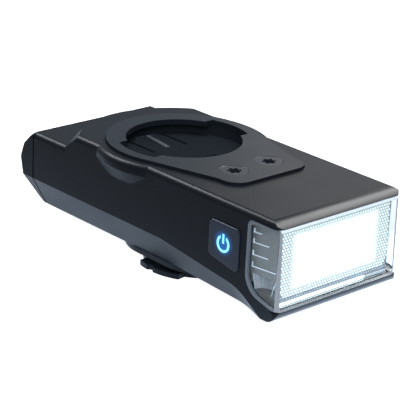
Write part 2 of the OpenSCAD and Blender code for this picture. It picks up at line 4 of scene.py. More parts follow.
import bmesh
import bpy
from mathutils import Matrix, Vector


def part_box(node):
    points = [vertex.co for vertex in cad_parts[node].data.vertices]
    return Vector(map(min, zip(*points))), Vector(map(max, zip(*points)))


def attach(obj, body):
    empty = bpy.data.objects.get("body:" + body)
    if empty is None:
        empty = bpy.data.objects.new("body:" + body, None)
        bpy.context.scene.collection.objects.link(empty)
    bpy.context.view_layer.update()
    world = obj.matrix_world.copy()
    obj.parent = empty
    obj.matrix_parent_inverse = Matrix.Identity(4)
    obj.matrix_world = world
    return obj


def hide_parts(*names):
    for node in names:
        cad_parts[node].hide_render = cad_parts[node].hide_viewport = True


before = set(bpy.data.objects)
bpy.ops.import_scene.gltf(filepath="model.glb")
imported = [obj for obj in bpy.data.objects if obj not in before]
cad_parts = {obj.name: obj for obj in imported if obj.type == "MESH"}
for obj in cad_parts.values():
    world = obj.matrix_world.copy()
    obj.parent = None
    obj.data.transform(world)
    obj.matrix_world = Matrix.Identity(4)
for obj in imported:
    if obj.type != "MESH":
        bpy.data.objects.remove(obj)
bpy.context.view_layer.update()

# Camera: a long lens in front of the lamp, on the rider's right and a little above it.
# The place, the turn and the focal length were fitted to the edges in the photograph.
mm = 0.001
camera = bpy.data.objects.new("camera", bpy.data.cameras.new("camera"))
bpy.context.scene.collection.objects.link(camera)
camera_place = Vector((269.35, -254.51, 155.23)) * mm
camera_right = Vector((0.6741, 0.7369, 0.0514))
camera_up = Vector((-0.2991, 0.2086, 0.9312))
camera_back = Vector((0.6755, -0.6430, 0.3610))
camera_turn = Matrix((camera_right, camera_up, camera_back)).transposed().to_4x4()
camera.matrix_world = Matrix.Translation(camera_place) @ camera_turn
camera.data.sensor_width = 36.0
camera.data.lens = 152.5
camera.data.clip_start = 0.01
bpy.context.scene.camera = camera
bpy.context.scene.view_settings.view_transform = "Standard"


# Studio: a white sweep under soft boxes, two of which only draw gloss. The floor is a matt white
# card that keeps the lamp's shadow. Floor and sky look white to the camera; in gloss the floor
# shows a painted pool of light near the lamp, and a painted spill of its light in front of it.
def linear(code):
    """sRGB hex colour as linear red, green, blue and alpha"""
    parts = [int(code[i:i + 2], 16) / 255 for i in (1, 3, 5)]
    return [p / 12.92 if p <= 0.04045 else ((p + 0.055) / 1.055) ** 2.4 for p in parts] + [1.0]


def add_node(owner, kind, inputs, **settings):
    """adds one node: its settings, and for each input a value or the socket that feeds it"""
    tree = owner.node_tree
    made = tree.nodes.new(kind)
    for name, value in settings.items():
        setattr(made, name, value)
    for name, value in inputs.items():
        if isinstance(value, bpy.types.NodeSocket):
            tree.links.new(value, made.inputs[name])
        else:
            made.inputs[name].default_value = value
    return made


def empty_material(name):
    """a material with an empty node tree"""
    made = bpy.data.materials.new(name)
    made.use_nodes = True
    made.node_tree.nodes.clear()
    return made


def seen_white(owner, in_gloss):
    """factor for camera, glossy and transmission rays, and their colour: white, cooler in gloss"""
    path = add_node(owner, "ShaderNodeLightPath", {}).outputs
    colour = add_node(owner, "ShaderNodeMix", {
        "Factor": path["Is Glossy Ray"], "A": linear("#ffffff"), "B": linear(in_gloss)},
        data_type="RGBA")
    some = add_node(owner, "ShaderNodeMath", {
        0: path["Is Camera Ray"], 1: path["Is Glossy Ray"]}, operation="MAXIMUM")
    seen = add_node(owner, "ShaderNodeMath", {
        0: some.outputs[0], 1: path["Is Transmission Ray"]}, operation="MAXIMUM")
    return seen.outputs[0], colour.outputs["Result"]


world = bpy.data.worlds.new("studio")
world.use_nodes = True
world.node_tree.nodes.clear()
fill_light = add_node(world, "ShaderNodeBackground", {"Color": linear("#e0ebfa"), "Strength": 0.35})
sky_seen, sky_colour = seen_white(world, "#c3cfdd")
white_sky = add_node(world, "ShaderNodeBackground", {"Color": sky_colour, "Strength": 1.0})
sky = add_node(world, "ShaderNodeMixShader", {0: sky_seen, 1: fill_light.outputs[0],
                                              2: white_sky.outputs[0]})
add_node(world, "ShaderNodeOutputWorld", {"Surface": sky.outputs[0]})
bpy.context.scene.world = world

white_card = empty_material("white_card")
card_matt = add_node(white_card, "ShaderNodeBsdfDiffuse", {"Color": linear("#c8c8c8")})
floor_seen, floor_colour = seen_white(white_card, "#d2e6ff")
card_place = add_node(white_card, "ShaderNodeTexCoord", {}).outputs["Object"]
card_part = add_node(white_card, "ShaderNodeSeparateXYZ", {"Vector": card_place})
card_side = add_node(white_card, "ShaderNodeMath", {0: card_part.outputs["Y"]},
                     operation="ABSOLUTE")
# Painted light: in gloss the card glows brighter close to the lamp and in front of it.
card_painted_pool = add_node(white_card, "ShaderNodeMapRange", {
    "Value": card_side.outputs[0], "From Min": 26 * mm, "From Max": 44 * mm,
    "To Min": 1.9, "To Max": 0.45})
painted_spill_near = add_node(white_card, "ShaderNodeMapRange", {
    "Value": card_part.outputs["X"], "From Min": 28 * mm, "From Max": 41 * mm})
painted_spill_far = add_node(white_card, "ShaderNodeMapRange", {
    "Value": card_part.outputs["X"], "From Min": 58 * mm, "From Max": 50 * mm, "To Max": 3.5})
painted_lamp_spill = add_node(white_card, "ShaderNodeMath", {
    0: painted_spill_near.outputs["Result"], 1: painted_spill_far.outputs["Result"],
    2: card_painted_pool.outputs["Result"]}, operation="MULTIPLY_ADD")
card_path = add_node(white_card, "ShaderNodeLightPath", {})
card_level = add_node(white_card, "ShaderNodeMix", {
    "Factor": card_path.outputs["Is Glossy Ray"], "A": 0.95, "B": painted_lamp_spill.outputs[0]})
card_glow = add_node(white_card, "ShaderNodeEmission", {"Color": floor_colour,
                                                        "Strength": card_level.outputs["Result"]})
card_seen = add_node(white_card, "ShaderNodeAddShader", {0: card_matt.outputs[0],
                                                         1: card_glow.outputs[0]})
card_mix = add_node(white_card, "ShaderNodeMixShader", {0: floor_seen, 1: card_matt.outputs[0],
                                                        2: card_seen.outputs[0]})
add_node(white_card, "ShaderNodeOutputMaterial", {"Surface": card_mix.outputs[0]})

floor_mesh = bpy.data.meshes.new("floor")
shape = bmesh.new()
bmesh.ops.create_circle(shape, cap_ends=True, segments=64, radius=1.5)
shape.to_mesh(floor_mesh)
shape.free()
floor_mesh.materials.append(white_card)
floor = bpy.data.objects.new("floor", floor_mesh)
bpy.context.scene.collection.objects.link(floor)


def soft_box(name, place, aim, width, height, watts, colour, fills=True):
    """a rectangular soft box turned to a point; one that doesn't fill only draws gloss"""
    lamp = bpy.data.lights.new(name, "AREA")
    lamp.shape = "RECTANGLE"
    lamp.size, lamp.size_y, lamp.energy = width, height, watts
    lamp.color = linear(colour)[:3]
    made = bpy.data.objects.new(name, lamp)
    turn = (Vector(aim) - Vector(place)).to_track_quat("-Z", "Y")
    made.matrix_world = Matrix.Translation(place) @ turn.to_matrix().to_4x4()
    made.visible_camera = False
    made.visible_diffuse = fills
    bpy.context.scene.collection.objects.link(made)


body_mid, front_mid, lens_mid = (0.0, 0.0, 0.02), (0.03, 0.0, 0.02), (0.04, 0.0, 0.02)
soft_box("key_box", (0.05, 0.05, 0.60), body_mid, 0.40, 0.40, 2.4, "#f6f8ff")
soft_box("rear_box", (-0.46, -0.06, 0.52), body_mid, 0.16, 0.30, 8.0, "#f4f7ff", fills=False)
soft_box("left_box", (0.10, 0.42, 0.46), front_mid, 0.40, 0.13, 12.0, "#fbfaf9", fills=False)
soft_box("far_card", (-0.06, 0.17, 0.12), lens_mid, 0.16, 0.10, 0.08, "#fff8f0")
soft_box("front_box", (0.42, -0.40, 0.42), body_mid, 0.40, 0.40, 3.0, "#eef3ff")


# Housing: the lamp's main body, with the dock's dais, the button's window and the lens opening.
# One injection moulding in charcoal ABS, its outside spark-eroded to a fine satin grain.
weld = 0.002 * mm
flat_angle, sharp_angle, crease_angle = (math.radians(angle) for angle in (0.6, 30.0, 40.0))


def plain_solid(node):
    """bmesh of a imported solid, with doubled points and the triangles of flat faces merged"""
    copy = bmesh.new()
    copy.from_mesh(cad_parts[node].data)
    bmesh.ops.remove_doubles(copy, verts=copy.verts, dist=weld)
    bmesh.ops.dissolve_limit(copy, angle_limit=flat_angle, verts=copy.verts, edges=copy.edges)
    return copy


def round_edges(shape, edges, radius, steps=2, clamp=False):
    """rounds some edges of a bmesh to a radius in millimetres"""
    bmesh.ops.bevel(shape, geom=edges, offset=radius * mm, offset_type="OFFSET", affect="EDGES",
                    segments=steps, profile=0.5, material=-1, clamp_overlap=clamp)


def moulded(name, node, radius, steps=2, softer=(), merge=True):
    """copy of a solid with its sharp edges rounded as a mould leaves them. The softer rows give
    some edges a size of their own; merge closes up what the rounding left without width."""
    copy = plain_solid(node)
    for inside, size, cuts in (*softer, (lambda place: True, radius, steps)):
        edges = [e for e in copy.edges if e.is_manifold and e.calc_face_angle() > sharp_angle
                 and all(inside(v.co / mm) for v in e.verts)]
        round_edges(copy, edges, size, cuts, clamp=True)
    if merge:
        bmesh.ops.remove_doubles(copy, verts=copy.verts, dist=weld)
        bmesh.ops.dissolve_degenerate(copy, edges=copy.edges, dist=weld)
    return finished(name, copy)


def finished(name, shape):
    """object from a bmesh, smooth but for its corners, with flat faces shaded flat"""
    mesh = bpy.data.meshes.new(name)
    for face in shape.faces:
        face.smooth = True
    shape.to_mesh(mesh)
    shape.free()
    mesh.set_sharp_from_angle(angle=crease_angle)
    made = bpy.data.objects.new(name, mesh)
    bpy.context.scene.collection.objects.link(made)
    flat = made.modifiers.new("flat_faces", "WEIGHTED_NORMAL")
    flat.keep_sharp = True
    return made


def dress(piece, material, body, slot, *nodes):
    """gives a piece its material and body and hides the solids it stands for; slot is not used"""
    piece.data.materials.clear()
    piece.data.materials.append(material)
    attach(piece, body)
    if nodes:
        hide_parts(*nodes)


def grained_plastic(name, deep, high, roughness, gloss, grain=0.4, pit=0.25):
    """moulded plastic and the like: a fine grain breaks the gloss up, and broad clouds vary it.
    The real grain is about 0.05 mm; it is drawn coarser, because that would not show."""
    made = empty_material(name)
    place = add_node(made, "ShaderNodeTexCoord", {}).outputs["Object"]
    fine = add_node(made, "ShaderNodeTexNoise", {"Vector": place, "Scale": 1 / (grain * mm),
                                                 "Detail": 3.0})
    cloud = add_node(made, "ShaderNodeTexNoise", {"Vector": place, "Scale": 1 / (16 * mm),
                                                  "Detail": 2.0})
    tint = add_node(made, "ShaderNodeMix", {"Factor": fine.outputs["Fac"], "A": linear(deep),
                                            "B": linear(high)}, data_type="RGBA")
    matt = add_node(made, "ShaderNodeMapRange", {
        "Value": cloud.outputs["Fac"], "To Min": roughness - 0.06, "To Max": roughness + 0.06})
    pits = add_node(made, "ShaderNodeBump", {"Height": fine.outputs["Fac"], "Strength": pit,
                                             "Distance": 0.05 * mm})
    shader = add_node(made, "ShaderNodeBsdfPrincipled", {
        "Base Color": tint.outputs["Result"], "Roughness": matt.outputs["Result"],
        "Normal": pits.outputs["Normal"], "Specular IOR Level": gloss, "IOR": 1.5})
    add_node(made, "ShaderNodeOutputMaterial", {"Surface": shader.outputs[0]})
    return made


dais_x, dais_low, dais_high = -20.0, 22.0, 26.0
dais_edge = (lambda p: p.x < dais_x and dais_low < p.z < dais_high, 0.6, 4)
charcoal_abs = grained_plastic("charcoal_ABS", "#0a0c0f", "#13181d", 0.38, 0.06)
dress(moulded("housing_shell", "housing", 0.25, softer=(dais_edge,), merge=False), charcoal_abs,
      "lamp", "body_plastic", "housing")

# Rear cap, gasket and charge port: the end of the body behind a thin seam, of the same plastic.
# Two screws hold the cap on a silicone ring; a silicone flap on a steel pin covers the socket.
black_silicone = grained_plastic("black_silicone", "#0c0d0e", "#141618", 0.62, 0.2)
dress(moulded("rear_cap_shell", "rear_cap", 0.3, steps=3), charcoal_abs, "lamp", "body_plastic",
      "rear_cap")
dress(moulded("rear_gasket", "rear_seal", 0.05), black_silicone, "lamp", "seal_rubber", "rear_seal")


def metal(name, deep, high, roughness, mark):
    """bare or plated metal: fine tool marks vary its gloss, and a thin film clouds its colour"""
    made = empty_material(name)
    place = add_node(made, "ShaderNodeTexCoord", {}).outputs["Object"]
    film = add_node(made, "ShaderNodeTexNoise", {"Vector": place, "Scale": 1 / (1.5 * mm),
                                                 "Detail": 3.0})
    marks = add_node(made, "ShaderNodeTexNoise", {"Vector": place, "Scale": 1 / (mark * mm),
                                                  "Detail": 2.0})
    tint = add_node(made, "ShaderNodeMix", {"Factor": film.outputs["Fac"], "A": linear(deep),
                                            "B": linear(high)}, data_type="RGBA")
    matt = add_node(made, "ShaderNodeMapRange", {
        "Value": marks.outputs["Fac"], "To Min": roughness - 0.08, "To Max": roughness + 0.08})
    shader = add_node(made, "ShaderNodeBsdfPrincipled", {
        "Base Color": tint.outputs["Result"], "Roughness": matt.outputs["Result"], "Metallic": 1.0})
    add_node(made, "ShaderNodeOutputMaterial", {"Surface": shader.outputs[0]})
    return made


zinc_steel = metal("zinc_plated_steel", "#8e949a", "#b0b6bc", 0.32, 0.15)
for side in ("left", "right"):
    dress(moulded("cap_screw_" + side + "_head", "cap_screw_" + side, 0.06), zinc_steel, "lamp",
          "bright_steel", "cap_screw_" + side)
dress(moulded("port_flap", "port_cover", 0.25, steps=3), black_silicone, "cover", "cover_silicone",
      "port_cover")
dress(moulded("flap_pin", "cover_pin", 0.05), zinc_steel, "lamp", "bright_steel", "cover_pin")
nickel_shell = metal("nickel_plated_shell", "#a9a8a2", "#c9c8c2", 0.25, 0.3)
dress(moulded("charge_socket", "usb_socket", 0.08), nickel_shell, "lamp", "bright_steel",
      "usb_socket")


# Boards: glass-fibre laminate under a coat of solder mask, with copper tracks under the coat.
# The mask is glossy, and the tracks show as lines of another shade, 1.6 mm apart.
def board(name, mask, track):
    """solder mask over copper tracks"""
    made = empty_material(name)
    place = add_node(made, "ShaderNodeTexCoord", {}).outputs["Object"]
    lines = add_node(made, "ShaderNodeTexBrick", {
        "Vector": place, "Scale": 1.0, "Mortar Size": 0.12 * mm, "Brick Width": 3.2 * mm,
        "Row Height": 1.6 * mm, "Color1": linear(mask), "Color2": linear(mask),
        "Mortar": linear(track)})
    haze = add_node(made, "ShaderNodeTexNoise", {"Vector": place, "Scale": 1 / (2.0 * mm)})
    matt = add_node(made, "ShaderNodeMapRange", {"Value": haze.outputs["Fac"], "To Min": 0.22,
                                                 "To Max": 0.4})
    shader = add_node(made, "ShaderNodeBsdfPrincipled", {
        "Base Color": lines.outputs["Color"], "Roughness": matt.outputs["Result"], "IOR": 1.52})
    add_node(made, "ShaderNodeOutputMaterial", {"Surface": shader.outputs[0]})
    return made


def coat(material, *nodes):
    """gives solids that stay as they were packed a material"""
    for node in nodes:
        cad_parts[node].material_slots[0].material = material


coat(board("green_solder_mask", "#12402a", "#2c6b44"), "usb_board", "main_board", "button_board")
coat(board("white_solder_mask", "#d9dcd6", "#c6cac4"), "led_board")

# Cell and pad: a lithium pouch in shrunk PVC film, held down by a strip of black foam.
# The film is satin with faint wrinkles; the foam is matt, with open cells of about 0.5 mm.
pvc_film = grained_plastic("blue_PVC_film", "#1f3f74", "#2b5290", 0.38, 0.5, grain=3.0, pit=0.6)
open_foam = grained_plastic("black_foam", "#101112", "#1d1f20", 0.9, 0.1, grain=0.5, pit=1.0)
coat(pvc_film, "battery")
coat(open_foam, "battery_pad")

# Heat sink and light chips: a finned aluminium block behind the light board and its four chips.
# The block is extruded and left bare; the chips are yellow phosphor under clear silicone.
extruded_aluminium = metal("extruded_aluminium", "#8d9296", "#a9aeb2", 0.4, 0.4)
yellow_phosphor = grained_plastic("yellow_phosphor", "#d8c25a", "#efe08c", 0.3, 0.5, grain=0.2)
coat(extruded_aluminium, "heat_sink")
coat(yellow_phosphor, "led_chips")


# Reflector: the light box between the chips and the panel, with a plain cheek at each side pane.
# Moulded in ABS and metallised to a satin grey; each cheek has four thin polished ribs, and under
# it a fluted half cup that opens to the pane. The ribs' lighter colour is a painted highlight, and
# the cups' is a painted reflection. It stands on the light board.
def add_box(shape, low, high):
    """adds a box between two corners in millimetres"""
    low, high = Vector(low) * mm, Vector(high) * mm
    made = bmesh.ops.create_cube(shape, size=1.0, matrix=Matrix.Translation((low + high) / 2)
                                 @ Matrix.Diagonal((*(high - low), 1.0)))
    return made["verts"]


def all_of(shape):
    """every point, edge and face of a bmesh"""
    return shape.verts[:] + shape.edges[:] + shape.faces[:]


satin_metallised = grained_plastic("metallised_ABS", "#525453", "#60615f", 0.38, 0.3, grain=0.6,
                                   pit=0.03)
# Painted highlight: the ribs are coloured lighter than the cheek they stand on.
rib_painted_highlight = grained_plastic("metallised_ABS_painted_highlight", "#aab0b4", "#c2c8cc", 0.25, 0.5,
                                    grain=0.6, pit=0.05)
box_back, box_front, box_half, box_low, box_top = 33.75, 39.2, 13.4, 7.9, 23.7
box_wall, box_depth = 0.8, 4.8
light_box = bmesh.new()
add_box(light_box, (box_back, -box_half, box_low), (box_front, box_half, box_top))
light_box.normal_update()
mouth = [f for f in light_box.faces if f.normal.x > 0.9]
bmesh.ops.inset_region(light_box, faces=mouth, thickness=box_wall * mm, use_even_offset=True)
bmesh.ops.translate(light_box, verts=[v for f in mouth for v in f.verts],
                    vec=(-box_depth * mm, 0, 0))

cheek_back, cheek_front, cheek_low, cheek_top = 33.5, 40.85, 12.2, 23.8
cheek_y, cheek_t = 16.75, 0.3
cheek_in = cheek_t - cheek_y
post_front, step_back, step_low, chin_back, chin_low = 34.1, 35.4, 7.4, 36.8, 6.8
shelf_back, shelf_front, shelf_out, shelf_in, shelf_low, cup_low = 33.6, 40.8, 16.7, 13.2, 8.6, 8.8
roof_back, roof_front, roof_out, roof_in, roof_low = 34.0, 38.9, 16.5, 13.3, 23.2
# One wing: the cheek, the post and the shelf round the cup, two steps down the chin, the roof.
half = bmesh.new()
add_box(half, (cheek_back, -cheek_y, cheek_low), (cheek_front, cheek_in, cheek_top))
add_box(half, (cheek_back, -cheek_y, shelf_low), (post_front, cheek_in, cheek_low))
add_box(half, (shelf_back, -shelf_out, shelf_low), (shelf_front, -shelf_in, cup_low))
add_box(half, (step_back, -cheek_y, step_low), (cheek_front, cheek_in, cup_low))
add_box(half, (chin_back, -cheek_y, chin_low), (cheek_front, cheek_in, step_low))
add_box(half, (roof_back, -roof_out, roof_low), (roof_front, -roof_in, box_top))
bmesh.ops.mirror(half, geom=all_of(half), axis="Y", merge_dist=0.0)
wings = bpy.data.meshes.new("wings")
half.to_mesh(wings)
half.free()
light_box.from_mesh(wings)
bpy.data.meshes.remove(wings)
dress(finished("reflector_bowl", light_box), satin_metallised, "lamp", "reflector_metal",
      "reflector")

cup_x, cup_foot_r, cup_mouth_r, cup_t, cup_cut = 37.45, 2.5, 3.4, 0.15, 0.01
flutes, flute_in = 28, 0.95
on_cut = 0.001 * mm
cup = bmesh.new()
rings = bmesh.ops.create_cone(cup, cap_ends=False, segments=2 * flutes, radius1=cup_foot_r * mm,
                              radius2=cup_mouth_r * mm, depth=(cheek_low - cup_low) * mm)["verts"]
for v in rings:
    if round(math.atan2(v.co.y, v.co.x) * flutes / math.pi) % 2:
        v.co.xy *= flute_in
bmesh.ops.translate(cup, verts=rings,
                    vec=Vector((cup_x, -shelf_out, (cheek_low + cup_low) / 2)) * mm)
bmesh.ops.bisect_plane(cup, geom=all_of(cup), dist=on_cut, clear_outer=True,
                       plane_co=(0, (cup_cut - shelf_out) * mm, 0), plane_no=(0, -1, 0))
bmesh.ops.recalc_face_normals(cup, faces=cup.faces)
bmesh.ops.solidify(cup, geom=cup.faces[:], thickness=cup_t * mm)
bmesh.ops.mirror(cup, geom=all_of(cup), axis="Y", merge_dist=0.0)
bmesh.ops.recalc_face_normals(cup, faces=cup.faces)
# Painted reflection: the cups are coloured lighter than the cheeks.
cup_painted_reflection = grained_plastic("metallised_ABS_painted_reflection", "#82888c", "#9aa0a4", 0.3, 0.5, grain=0.6,
                                 pit=0.03)
dress(finished("fluted_cups", cup), cup_painted_reflection, "lamp", "reflector_metal")

tick_x, tick_t, tick_out, rib_root = 33.9, 0.28, 0.18, 0.1
line_in, line_t, line_out, line_rise = 0.2, 0.22, 0.16, 0.08
ribs = bmesh.new()
for tick_low, tick_high, line_end in ((21.1, 22.1, 36.2), (18.8, 19.9, 38.4), (16.1, 17.2, 38.3),
                                      (13.5, 14.7, 40.6)):
    add_box(ribs, (tick_x, -cheek_y - tick_out, tick_low),
            (tick_x + tick_t, rib_root - cheek_y, tick_high))
    for v in add_box(ribs, (tick_x + line_in, -cheek_y - line_out, tick_low),
                     (line_end, rib_root - cheek_y, tick_low + line_t)):
        v.co.z += line_rise * (v.co.x - tick_x * mm)
bmesh.ops.mirror(ribs, geom=all_of(ribs), axis="Y", merge_dist=0.0)
round_edges(ribs, ribs.edges[:], 0.05)
bmesh.ops.recalc_face_normals(ribs, faces=ribs.faces)
dress(finished("cheek_ribs", ribs), rib_painted_highlight, "lamp", "reflector_metal")


# Microlens panel: the pressed acrylic sheet that spreads the beam, right behind the lens.
# Its front is a field of small domes in staggered rows; the middle is lit so hard that it burns
# out, the border shows each dome with a grey gap, and the lowest rows stay dark.
def face_copies(shape, points):
    """copies the faces round some points of a bmesh, and returns the points of the copy"""
    faces = list(dict.fromkeys(f for v in points for f in v.link_faces))
    made = bmesh.ops.duplicate(shape, geom=faces)["geom"]
    return [v for v in made if isinstance(v, bmesh.types.BMVert)]


panel = plain_solid("microlens_panel")
crown = panel.verts.layers.float.new("crown")
pitch, row_pitch, dome_r, dome_top_r, dome_h, dome_sink = 0.75, 0.65, 0.34, 0.17, 0.12, 0.02
in_row, rows = 44, 25
first_y, first_up, edge_spare = -16.125, 0.4, 0.02
lean_back, lean_rise = 0.6, 22.0
lean = math.atan2(lean_back, lean_rise)
panel_low, panel_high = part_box("microlens_panel")
dome = bmesh.ops.create_cone(panel, cap_ends=True, segments=8, radius1=dome_r * mm,
                             radius2=dome_top_r * mm, depth=dome_h * mm)["verts"]
for v in dome:
    v[crown] = 1.0 if v.co.z > 0 else 0.0
bmesh.ops.rotate(panel, verts=dome, matrix=Matrix.Rotation(math.pi / 2 - lean, 3, "Y"))
bmesh.ops.translate(panel, verts=dome, vec=Vector((
    panel_high[0] + (dome_h / 2 - dome_sink - first_up * math.tan(lean)) * mm, first_y * mm,
    panel_low[2] + first_up * mm)))
row = list(dome)
for k in range(1, in_row):
    fresh = face_copies(panel, dome)
    bmesh.ops.translate(panel, verts=fresh, vec=(0, k * pitch * mm, 0))
    row += fresh
last_start = -first_y - dome_r + pitch / 2 - edge_spare
for k in range(1, rows):
    fresh = face_copies(panel, row)
    up = k * row_pitch * mm
    bmesh.ops.translate(panel, verts=fresh,
                        vec=(-up * math.tan(lean), (k % 2) * pitch * mm / 2, up))
    if k % 2:
        past_edge = [v for v in fresh if v.co.y > last_start * mm]
        bmesh.ops.delete(panel, geom=past_edge, context="VERTS")

pressed_acrylic = empty_material("pressed_acrylic")
place = add_node(pressed_acrylic, "ShaderNodeTexCoord", {}).outputs["Object"]
part = add_node(pressed_acrylic, "ShaderNodeSeparateXYZ", {"Vector": place})
across = add_node(pressed_acrylic, "ShaderNodeMath", {0: part.outputs["Y"]},
                  operation="ABSOLUTE").outputs[0]
height = part.outputs["Z"]
bump = add_node(pressed_acrylic, "ShaderNodeAttribute", {}, attribute_name="crown").outputs["Fac"]
corner = add_node(pressed_acrylic, "ShaderNodeMath", {0: height, 1: across},
                  operation="SUBTRACT").outputs[0]
# Each row says what is measured, and where it is dark and where fully lit, in millimetres.
masks = {"core": ((across, 14.4, 11.6), (height, 8.8, 10.8), (height, 23.2, 21.0)),
         "lit": ((height, 8.3, 8.7), (corner, -6.6, -6.1), (across, 16.49, 16.4))}
areas = {}
for area, edges in masks.items():
    for value, dark, bright in edges:
        edge = add_node(pressed_acrylic, "ShaderNodeMapRange", {
            "Value": value, "From Min": dark * mm, "From Max": bright * mm},
            interpolation_type="SMOOTHSTEP").outputs["Result"]
        if area in areas:
            edge = add_node(pressed_acrylic, "ShaderNodeMath", {0: areas[area], 1: edge},
                            operation="MULTIPLY").outputs[0]
        areas[area] = edge
dots = add_node(pressed_acrylic, "ShaderNodeMapRange", {
    "Value": bump, "From Min": 0.1, "From Max": 0.9, "To Min": 0.30, "To Max": 0.80})
dot_light = add_node(pressed_acrylic, "ShaderNodeMath", {
    0: areas["lit"], 1: dots.outputs["Result"]}, operation="MULTIPLY")
core_light = add_node(pressed_acrylic, "ShaderNodeMath", {0: areas["core"], 1: 0.98},
                      operation="MULTIPLY")
glow = add_node(pressed_acrylic, "ShaderNodeMath", {
    0: dot_light.outputs[0], 1: core_light.outputs[0]}, operation="MAXIMUM").outputs[0]
# The crowns are painted lighter than the gaps: a painted highlight on each dome.
tint = add_node(pressed_acrylic, "ShaderNodeMix", {"Factor": bump, "A": linear("#54595c"),
                                                   "B": linear("#8f979b")}, data_type="RGBA")
shader = add_node(pressed_acrylic, "ShaderNodeBsdfPrincipled", {
    "Base Color": tint.outputs["Result"], "Roughness": 0.22, "IOR": 1.49,
    "Emission Color": linear("#ecffff"), "Emission Strength": glow})
add_node(pressed_acrylic, "ShaderNodeOutputMaterial", {"Surface": shader.outputs[0]})
dress(finished("microlens_sheet", panel), pressed_acrylic, "lamp", "lit_panel", "microlens_panel")

# Light strip: the moulded acrylic bar under the panel that carries light to the lip of the lens.
# It is bright from the rider's right to past the middle, and goes grey towards the far end.
strip_acrylic = empty_material("lit_acrylic_bar")
place = add_node(strip_acrylic, "ShaderNodeTexCoord", {}).outputs["Object"]
part = add_node(strip_acrylic, "ShaderNodeSeparateXYZ", {"Vector": place})
beam = add_node(strip_acrylic, "ShaderNodeMapRange", {
    "Value": part.outputs["Y"], "From Min": 9.9 * mm, "From Max": 8.9 * mm,
    "To Min": 0.12, "To Max": 1.0}, interpolation_type="SMOOTHSTEP").outputs["Result"]
shader = add_node(strip_acrylic, "ShaderNodeBsdfPrincipled", {
    "Base Color": linear("#8f989c"), "Roughness": 0.2, "IOR": 1.49,
    "Emission Color": linear("#eefcff"), "Emission Strength": beam})
add_node(strip_acrylic, "ShaderNodeOutputMaterial", {"Surface": shader.outputs[0]})
dress(moulded("light_bar", "light_strip", 0.06), strip_acrylic, "lamp", "lit_panel", "light_strip")

# Lens: one clear polycarbonate moulding over the front and both sides, with a raised rim.
# It is polished but for the rim and the upright corners, whose fine texture makes them pale; its
# top edge carries the panel's light, painted on it as a glow. It clips into the housing.
lens = moulded("lens_shell", "lens", 0.08)
corner_x, corner_y = 42.1, 17.1
corners = bmesh.new()
corners.from_mesh(lens.data)
for cut_place, cut_way in (((corner_x, 0, 0), (1, 0, 0)), ((0, corner_y, 0), (0, 1, 0)),
                           ((0, -corner_y, 0), (0, 1, 0))):
    bmesh.ops.bisect_plane(corners, geom=all_of(corners), dist=on_cut,
                           plane_co=Vector(cut_place) * mm, plane_no=cut_way)
corners.to_mesh(lens.data)
corners.free()

# The IOR is lower than polycarbonate's 1.58: with that, the thick edges trap light and go black.
clear_pc = empty_material("clear_polycarbonate")
place = add_node(clear_pc, "ShaderNodeTexCoord", {}).outputs["Object"]
wave = add_node(clear_pc, "ShaderNodeTexNoise", {"Vector": place, "Scale": 1 / (6 * mm)})
polish = add_node(clear_pc, "ShaderNodeMapRange", {"Value": wave.outputs["Fac"], "To Min": 0.01,
                                                   "To Max": 0.04})
shader = add_node(clear_pc, "ShaderNodeBsdfPrincipled", {
    "Base Color": linear("#f8fbfb"), "Roughness": polish.outputs["Result"], "IOR": 1.08,
    "Transmission Weight": 1.0})
add_node(clear_pc, "ShaderNodeOutputMaterial", {"Surface": shader.outputs[0]})
# Painted glow: the lens's top edge emits, in place of the panel's light that it carries.
lit_pc = empty_material("edge_lit_polycarbonate")
place = add_node(lit_pc, "ShaderNodeTexCoord", {}).outputs["Object"]
cloud = add_node(lit_pc, "ShaderNodeTexNoise", {"Vector": place, "Scale": 1 / (2.0 * mm)})
spill = add_node(lit_pc, "ShaderNodeMapRange", {"Value": cloud.outputs["Fac"], "To Min": 0.5,
                                                "To Max": 0.75})
shader = add_node(lit_pc, "ShaderNodeBsdfPrincipled", {
    "Base Color": linear("#9aa6ae"), "Roughness": 0.3, "IOR": 1.58,
    "Emission Color": linear("#dceaf6"), "Emission Strength": spill.outputs["Result"]})
add_node(lit_pc, "ShaderNodeOutputMaterial", {"Surface": shader.outputs[0]})
textured_pc = grained_plastic("textured_polycarbonate", "#4d5459", "#636b71", 0.4, 0.4, grain=0.5,
                              pit=0.1)
frosted_pc = grained_plastic("frosted_polycarbonate", "#82878a", "#989da0", 0.4, 0.4, grain=0.5,
                             pit=0.05)

dress(lens, clear_pc, "lamp", "clear_lens", "lens")
for finish in (textured_pc, lit_pc, frosted_pc):
    lens.data.materials.append(finish)
textured, edge_lit, frosted = 1, 2, 3
top_x, top_half, top_z, lip_z = 42.0, 18.0, 23.7, 6.7
rim_x, rim_y, pane_x, pane_y = 41.3, 18.42, 41.0, 16.9
side_turn, front_turn = 0.3, 0.5
for face in lens.data.polygons:
    middle, facing = face.center / mm, face.normal
    outward, sideways = abs(middle.y), abs(facing.y)
    top_edge = middle.z > top_z and middle.x > top_x and outward < top_half
    upright = (outward > corner_y and middle.x > corner_x
               and (sideways > side_turn or facing.x > front_turn))
    rim = outward > rim_y and middle.x < rim_x
    pane_edge = outward > pane_y and middle.x < pane_x and sideways < side_turn
    lip = middle.z < lip_z and abs(facing.x) < front_turn
    if top_edge:
        face.material_index = edge_lit
    elif upright:
        face.material_index = frosted
    elif rim or pane_edge or lip:
        face.material_index = textured
# Without caustics a clear piece would throw the shadow of a solid one, so it throws none.
lens.visible_shadow = False
